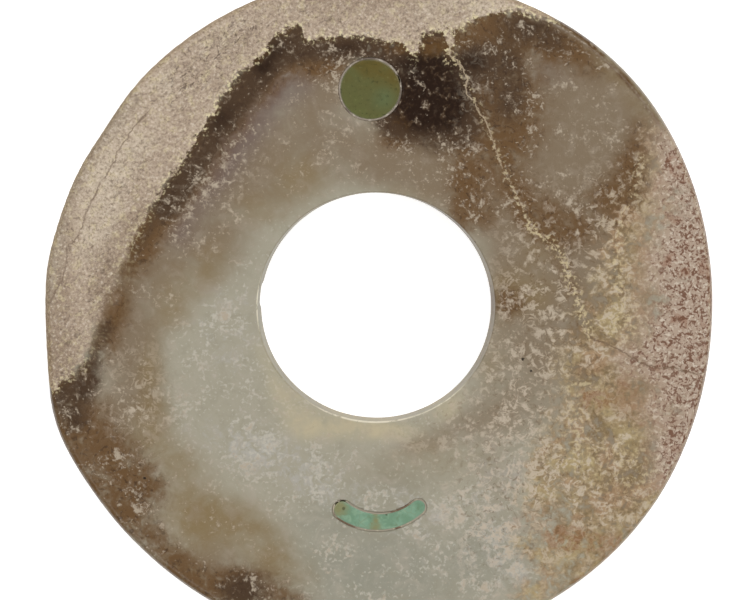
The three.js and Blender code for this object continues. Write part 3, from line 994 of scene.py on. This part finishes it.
ridge = summed(fold(pattern["curls"], -0.5), (-0.14, small))
gate = summed(pattern["clots"], (0.8, pattern["cloudy"]), (0.9, pattern["broad"]))
gate = add(tree, "MapRange", {"Value": gate, "From Min": 1.26, "From Max": 1.46})
gate = add(tree, "Math", {0: gate, 1: mask["net"]}, operation="MULTIPLY")
gate = add(tree, "Math", {0: gate, 1: summed(1.0, (-0.7, rusty))}, operation="MULTIPLY")
body = sprinkle(body, ridge, 0.08, 0.01, NET, 0.95, where=gate)
body = sprinkle(body, pattern["pepper"], 0.44, 0.32, BROWN, 0.63, where=mask["net"])

body, pinkish = stain(body, "pink", PINK, 0.1, 0.9, 0.8, 0.5)
body = sprinkle(body, pattern["dots"], 0.52, 0.66, BLOOM, 0.8, where=pinkish)
body = sprinkle(body, pattern["cloudy"], 0.53, 0.68, RED_EARTH, 0.6, where=pinkish)
peppery = summed(pattern["pepper"], (0.1, mask["pink"]), (0.5, pattern["fine"]))
body = sprinkle(body, peppery, 0.83, 0.93, SPECK, 0.9, where=pinkish)
crumbs = summed(pattern["dots"], (0.5, pattern["clots"]), (0.15, mask["curd"]))
body = sprinkle(body, crumbs, 0.84, 0.98, CURD, 1.0, where=mask["curd"])
print("nodes with the tan side:", len(tree.nodes))

# %% [markdown]
# Dealers call the cream skin chicken-bone white. It is jade that has turned to chalk: matt, a little
# rough, scored by the grinding, and pitted where grains have dropped out. Its edge is ragged and
# sharp, with a rusty fringe outside it and cream glints on it.

# %% The cream skin
CREAM = "#B39F8A"
BARE = "#C4B39D"
STAINED = "#947F69"
WEATHERED = "#A3937F"
PIT = "#564232"
GLINT = "#DCCFA6"
SAND = "#C9B993"
CHALK = "#DDD0BD"
# Each grain of the chalk: pattern, the values between which it shows, colour and strength.
GRAINS = [
    ("cloudy", 0.5, 0.3, STAINED, 0.4), ("clots", 0.5, 0.68, SAND, 0.65),
    ("dots", 0.47, 0.3, STAINED, 0.6), ("fine", 0.5, 0.3, PIT, 0.5), ("fine", 0.53, 0.72, CHALK, 0.6),
]
# The turn of the scores that the grinding left.
SCORED = math.radians(-42)

cream, _ = stain(CREAM, "bare_skin", BARE, 0.05, 1.1)
cream, _ = stain(cream, "stained_skin", STAINED, 0.05, 1.0)
cream, _ = stain(cream, "outer_skin", WEATHERED, 0.1, 0.8, 0.3, 0.2)
for name, low, high, tint, strength in GRAINS:
    cream = sprinkle(cream, pattern[name], low, high, tint, strength)
pitted = mask["pitted_skin"]
pitting = add(
    tree, "MapRange", {"Value": pattern["crowd"], "From Min": 0.45, "From Max": 0.65, "To Max": 0.6}
)
pitting = add(tree, "Math", {0: pitted, 1: pitting}, operation="MAXIMUM")
cream = sprinkle(cream, pattern["dots"], 0.37, 0.27, PIT, 0.9, where=pitting)
turned = add(tree, "Mapping", {"Vector": place, "Rotation": (0, 0, SCORED)})


def scored(long, wide, settings):
    """A noise whose lumps are drawn out along the scores of the grinding, with their sizes in mm."""
    scale = (1 / (long * MM), 1 / (wide * MM), 1 / (2 * MM))
    drawn = add(tree, "Mapping", {"Vector": turned, "Scale": scale})
    return add(tree, "TexNoise", {"Vector": drawn, "Scale": 1.0, **settings})


pits = scored(2.0, 1.1, {"Detail": 2, "Distortion": 0.6})
streaks = scored(7, 0.9, {"Detail": 3, "Roughness": 0.6})
cream = sprinkle(cream, pits, 0.39, 0.31, PIT, 0.95, where=pitting)
cream = sprinkle(cream, streaks, 0.5, 0.34, STAINED, 0.35, where=pitted)
cream = sprinkle(cream, streaks, 0.54, 0.68, CHALK, 0.3, where=pitted)
cream = sprinkle(cream, fold(pattern["ragged"], -0.5), 0.04, 0.0, PIT, 0.55, where=pitted)

edge = add(tree, "Math", {0: mask["skin_edge"], 1: summed(-3.5, (7.0, pattern["ragged"]))})
sharpness = add(tree, "MapRange", {"Value": mask["crisp"], "To Min": 0.1})
edge = add(tree, "Math", {0: edge, 1: sharpness}, operation="MULTIPLY")
fringe = add(tree, "MapRange", {"Value": pattern["cloudy"], "From Min": 0.4, "From Max": 0.6})
body = sprinkle(body, edge, -1.6, -0.3, AMBER, 0.45, where=fringe)
is_skin = add(
    tree, "MapRange", {"Value": edge, "From Min": -0.35, "From Max": 0.35},
    interpolation_type="SMOOTHSTEP",
)
body = add(tree, "Mix", {"Factor": is_skin, "A": body, "B": cream}, data_type="RGBA")
at_border = add(tree, "MapRange", {"Value": fold(edge, 0.0), "From Min": 1.4, "From Max": 0.3})
at_border = add(tree, "Math", {0: at_border, 1: mask["crisp"]}, operation="MULTIPLY")
body = sprinkle(body, pattern["dots"], 0.51, 0.63, GLINT, 0.85, where=at_border)
print("nodes with the skin:", len(tree.nodes))

# %% [markdown]
# The cream vein is a healed crack, thin and whole at the top, and broken to crumbs lower down. The
# open cracks that run on from it and through the skin have filled with dirt.

# %% The vein and the cracks
VEIN_COLOUR = "#B8A68C"
CRACK_COLOUR = "#705A46"

wander = summed(-1.5, (3.0, pattern["ragged"]))
joined = summed(pattern["pepper"], (0.16, mask["whole"]))
joined = add(tree, "MapRange", {"Value": joined, "From Min": 0.44, "From Max": 0.6})
body = sprinkle(body, fold(mask["vein"], wander), 0.3, 0.06, VEIN_COLOUR, 0.75, where=joined)
filled = add(
    tree, "MapRange", {"Value": pattern["clots"], "From Min": 0.3, "From Max": 0.5, "To Min": 0.35}
)
body = sprinkle(body, fold(mask["crack"], wander), 0.32, 0.08, CRACK_COLOUR, 0.75, where=filled)
print("nodes with the vein and the cracks:", len(tree.nodes))

# %% [markdown]
# The rim and the wall of the hole weren't polished as the faces were. Painted shade darkens them, the more
# the steeper they lean, so that the side lamps don't light them brighter than the face. A thin pale line
# of painted highlight runs along the arris of the hole, broken in places.

# %% Painted shade on the edges and a painted highlight on the lip
PAINTED_EDGE_SHADE = "#A69F87"
PAINTED_LIP_HIGHLIGHT = "#DDD5C0"

# Painted shade: the colour is multiplied darker the more steeply the surface leans, on the rim and the
# hole's wall.
edge_shade_amount = add(tree, "MapRange", {"Value": mask["tilt"], "From Min": 0.1, "From Max": 1.0, "To Max": 0.75})
body = add(
    tree, "Mix", {"Factor": edge_shade_amount, "A": body, "B": PAINTED_EDGE_SHADE}, data_type="RGBA", blend_type="MULTIPLY"
)
# Painted highlight: a thin pale line on the arris of the hole, broken by a pattern.
highlight_gaps = add(tree, "MapRange", {"Value": pattern["clots"], "From Min": 0.36, "From Max": 0.5})
body = sprinkle(body, mask["lip"], 0.1, 0.7, PAINTED_LIP_HIGHLIGHT, 0.85, where=highlight_gaps)
print("nodes with the worn edges:", len(tree.nodes))

# %% [markdown]
# A few black grains, probably of manganese or graphite, lie on the face. They are single, so each is
# placed one by one, with an uneven edge.

# %% Small black specks
SPECKS = [(35.9, -12.1, 0.8), (38.1, -15.1, 0.6), (23.9, 17.1, 0.7), (-58.6, -41.9, 0.6)]
BLACK = "#1F1712"
body = spot(body, SPECKS, pattern["dots"], 1.5, 1.0, BLACK, 0.95)
print("specks:", len(SPECKS))

# %% [markdown]
# The faces were ground with wet sand and polished by hand. The fresh jade has kept its waxy shine, the
# skin is matt, and the unpolished rim and hole hardly shine at all. A very slight bump breaks up the
# reflections.

# %% Its gloss
JADE_IOR = 1.61
gloss = add(tree, "MapRange", {"Value": is_skin, "To Min": 0.3, "To Max": 0.6})
dull = add(
    tree, "MapRange",
    {"Value": mask["tilt"], "From Min": 0.08, "From Max": 0.3, "To Min": 0.5, "To Max": 0.03},
)
coat(
    stone, jade, {"Base Color": body, "Roughness": gloss, "Specular IOR Level": dull, "IOR": JADE_IOR},
    pattern["clots"], 0.3, 0.12,
)
print("nodes in the stone's material:", len(tree.nodes))

# %% [markdown]
# The inlays are finished next. Each is rebuilt with a fine even mesh, and smoothing that mesh a little
# rounds its edges as wear does.

# %% Finished inlays
INLAY_GRID = 0.22 * MM


def even_mesh(piece, grid):
    """Rebuilds a piece with a fine even mesh and rounds its edges slightly."""
    remade = piece.modifiers.new("even mesh", "REMESH")
    remade.mode = "VOXEL"
    remade.voxel_size = grid
    worn = piece.modifiers.new("worn edges", "SMOOTH")
    worn.factor = 0.5
    worn.iterations = 4
    apply_modifiers(piece)


plug = copy_of("round_plug", "olive_plug")
even_mesh(plug, INLAY_GRID)
crescent = copy_of("crescent_inlay", "turquoise_crescent")
even_mesh(crescent, INLAY_GRID)
print("plug", len(plug.data.vertices), "crescent", len(crescent.data.vertices), "vertices")

# %% [markdown]
# The paste that beds each inlay fills the gap to its pocket's wall. It is the pocket's shape, a
# hair smaller, with the inlay cut out of it, so it is a thin cup, and its top is left a little low
# and uneven, as paste that has shrunk.

# %% Bedding paste
PASTE_GRID = 0.16 * MM
PASTE_LOW = 0.16
PASTE_TOP = 0.5
# Where paste has fallen out: the middle and the size in mm.
LOST = {"round_plug": [(5.0, 58.0, 0.9)], "crescent_inlay": [(-9.0, -47.6, 0.7), (-10.4, -48.4, 0.5)]}
LOST_DEPTH = 1.2


def bedding(node, name):
    """The cup of paste round an inlay, with the spots where it has fallen out."""
    paste = pocket_tool(node, 0.0)
    paste.name = name
    even_mesh(paste, PASTE_GRID)
    spots = points_of(paste)
    top = spots[:, 2].max()
    high = np.clip((spots[:, 2] - top + PASTE_TOP) / PASTE_TOP, 0, 1)
    sunk = np.full(len(spots), PASTE_LOW)
    for x, y, size in LOST[node]:
        sunk += LOST_DEPTH * np.exp(-(np.hypot(spots[:, 0] - x, spots[:, 1] - y) / size) ** 4)
    spots[:, 2] = np.where(high > 0, spots[:, 2] - high * (top - THICKNESS + sunk), spots[:, 2])
    put_points(paste, spots)
    cut(paste, copy_of(node, "knife"))
    return paste


plug_paste = bedding("round_plug", "plug_bedding")
crescent_paste = bedding("crescent_inlay", "crescent_bedding")
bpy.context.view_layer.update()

# %% [markdown]
# The plug is nephrite too, of the green kind that is called spinach jade, and burial has hardly touched
# it. It was ground to a disc with wet sand and polished, so it shines as the fresh jade does. Iron in
# the crystals makes it olive, browner towards one side, with soft clouds and a few dark grains. It
# gives the eye one quiet dark spot.

# %% The plug's finish
CLOUD_SPAN = 5 * MM
GRAIN_SIZE = 0.9 * MM
TOWARDS_GREEN = Vector((-0.5, -0.87, 0))
GREEN_CLOUDS = [(1.4, 53.2, 3.4)]
OLIVE_BROWN = "#62562A"
OLIVE_GREY = "#5F5F38"
OLIVE_GREEN = "#62673A"
BLUE_GREEN = "#5F6C49"
SHADE = "#4C4A28"
PALE_GRAIN = "#7E7D52"
DARK_GRAIN = "#35351C"

olive_jade = empty_material("polished olive nephrite")
tree = olive_jade.node_tree
place = add(tree, "TexCoord").outputs["Object"]
clouds = add(tree, "TexNoise", {"Vector": place, "Scale": 1 / CLOUD_SPAN, "Detail": 4, "Distortion": 0.5})
grains = add(tree, "TexNoise", {"Vector": place, "Scale": 1 / GRAIN_SIZE, "Detail": 3})
plug_low, plug_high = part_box("round_plug")
plug_middle = (plug_low + plug_high) / 2
plug_reach = plug_high.x - plug_middle.x
middle_along = plug_middle.dot(TOWARDS_GREEN)
along = add(tree, "VectorMath", {0: place, 1: TOWARDS_GREEN}, operation="DOT_PRODUCT")
slope = add(
    tree, "MapRange",
    {"Value": along.outputs["Value"], "From Min": middle_along - plug_reach,
     "From Max": middle_along + plug_reach, "To Min": -0.3, "To Max": 0.45},
)
greener = add(tree, "Math", {0: clouds, 1: slope})
olive = sprinkle(OLIVE_BROWN, greener, 0.2, 0.7, OLIVE_GREY, 1.0)
olive = sprinkle(olive, greener, 0.75, 1.1, OLIVE_GREEN, 0.7)
olive = spot(olive, GREEN_CLOUDS, clouds, 2.2, 0.8, BLUE_GREEN, 0.7)
olive = sprinkle(olive, clouds, 0.46, 0.3, SHADE, 0.6)
olive = sprinkle(olive, grains, 0.6, 0.74, PALE_GRAIN, 0.4)
olive = sprinkle(olive, grains, 0.42, 0.26, DARK_GRAIN, 0.6)
coat(plug, olive_jade, {"Base Color": olive, "Roughness": 0.3, "IOR": JADE_IOR}, grains, 0.2, 0.05)
print("nodes in the plug's material:", len(tree.nodes))

# %% [markdown]
# The crescent is green turquoise, cut from a seam with a web of olive limonite and rubbed smooth on a
# wet stone. It is softer than jade, so it keeps a waxy rather than a glassy shine, and its clouds are
# fine. Its blue-green is the one cold colour on the disc, so the eye finds it at once.

# %% The crescent's finish
MOTTLE_SPAN = 1.6 * MM
SOFT_SPAN = 4 * MM
WEB_SPAN = 2.6 * MM
TURQUOISE_IOR = 1.61
TURQUOISE = "#6F9075"
PALER = "#7B9C83"
MILKY = "#8BA68A"
MOSSY = "#647F5F"
WEB = "#7D7F58"
LIMONITE = "#857F55"
DARK_LIMONITE = "#4A4A2C"
LIMONITE_SPOTS = [(-10.2, -49.2, 3.2), (-0.8, -50.4, 1.3), (-0.6, -52.4, 1.1), (-0.8, -54.4, 1.8)]
DARK_DOTS = [(-8.8, -49.5, 0.35), (-0.1, -50.7, 0.3), (1.9, -51.0, 0.25), (4.5, -54.5, 0.3)]

green_turquoise = empty_material("waxy green turquoise")
tree = green_turquoise.node_tree
place = add(tree, "TexCoord").outputs["Object"]
mottles = add(tree, "TexNoise", {"Vector": place, "Scale": 1 / MOTTLE_SPAN, "Detail": 4, "Distortion": 0.8})
soft_clouds = add(tree, "TexNoise", {"Vector": place, "Scale": 1 / SOFT_SPAN, "Detail": 3})
web = add(tree, "TexVoronoi", {"Vector": place, "Scale": 1 / WEB_SPAN}, feature="DISTANCE_TO_EDGE")
green = sprinkle(TURQUOISE, soft_clouds, 0.4, 0.62, PALER, 1.0)
green = sprinkle(green, mottles, 0.52, 0.7, MILKY, 0.7)
green = sprinkle(green, mottles, 0.45, 0.3, MOSSY, 0.6)
faint = add(tree, "MapRange", {"Value": soft_clouds, "From Min": 0.45, "From Max": 0.6})
green = sprinkle(green, web, 0.04, 0.01, WEB, 0.35, where=faint)
green = spot(green, LIMONITE_SPOTS, mottles, 2.0, 1.0, LIMONITE, 0.85)
green = spot(green, DARK_DOTS, mottles, 2.3, 1.6, DARK_LIMONITE, 0.8)
look = {"Base Color": green, "Roughness": 0.42, "IOR": TURQUOISE_IOR}
coat(crescent, green_turquoise, look, mottles, 0.3, 0.06)
print("nodes in the crescent's material:", len(tree.nodes))

# %% [markdown]
# The paste is lime and resin that was pressed in wet, scraped level and left to dry, so it is matt and
# crumbly. It is a greyish buff round the plug and a warmer, browner one round the crescent, with
# cream crumbs and stains in both. It gives each inlay a thin, uneven outline.

# %% The paste's finish
CRUMB_SPAN = 1.3 * MM
# Each paste: its piece, its main, dark and pale colours, and its stains with their middles and sizes.
PASTES = {
    "dried lime paste": (
        plug_paste, "#95897B", "#65584C", "#BDB2A3",
        [(5.6, 53.5, 2.6), (-3.0, 63.4, 2.4), (-7.5, 50.6, 1.2)],
    ),
    "stained resin paste": (
        crescent_paste, "#9F9684", "#6B523C", "#C6B99F",
        [(-8.4, -52.8, 3.0), (5.6, -49.2, 3.0), (5.0, -54.6, 1.0)],
    ),
}
for name, (paste, main, dark, pale, stains) in PASTES.items():
    dry = empty_material(name)
    tree = dry.node_tree
    place = add(tree, "TexCoord").outputs["Object"]
    crumbs = add(tree, "TexNoise", {"Vector": place, "Scale": 1 / CRUMB_SPAN, "Detail": 4})
    shade = sprinkle(main, crumbs, 0.52, 0.66, pale, 0.9)
    shade = spot(shade, stains, crumbs, 2.0, 1.4, dark, 0.85)
    coat(paste, dry, {"Base Color": shade, "Roughness": 0.85}, crumbs, 0.6, 0.15)
print("pastes:", len(PASTES))

# %% [markdown]
# Every piece rides with the one rigid body of the part, the three that stand for a solid replace it,
# and the bedding, which no solid stands for, is extra.

# %% Fit everything to the frame
SMOOTH_UP_TO = math.radians(35)
for piece, node, slot in (
    (stone, "disc", "weathered_jade"),
    (plug, "round_plug", "green_jade"),
    (crescent, "crescent_inlay", "turquoise"),
    (plug_paste, None, "weathered_jade"),
    (crescent_paste, None, "weathered_jade"),
):
    only(piece)
    bpy.ops.object.shade_smooth_by_angle(angle=SMOOTH_UP_TO)
    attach(piece, "root")
    if node:
        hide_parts(node)
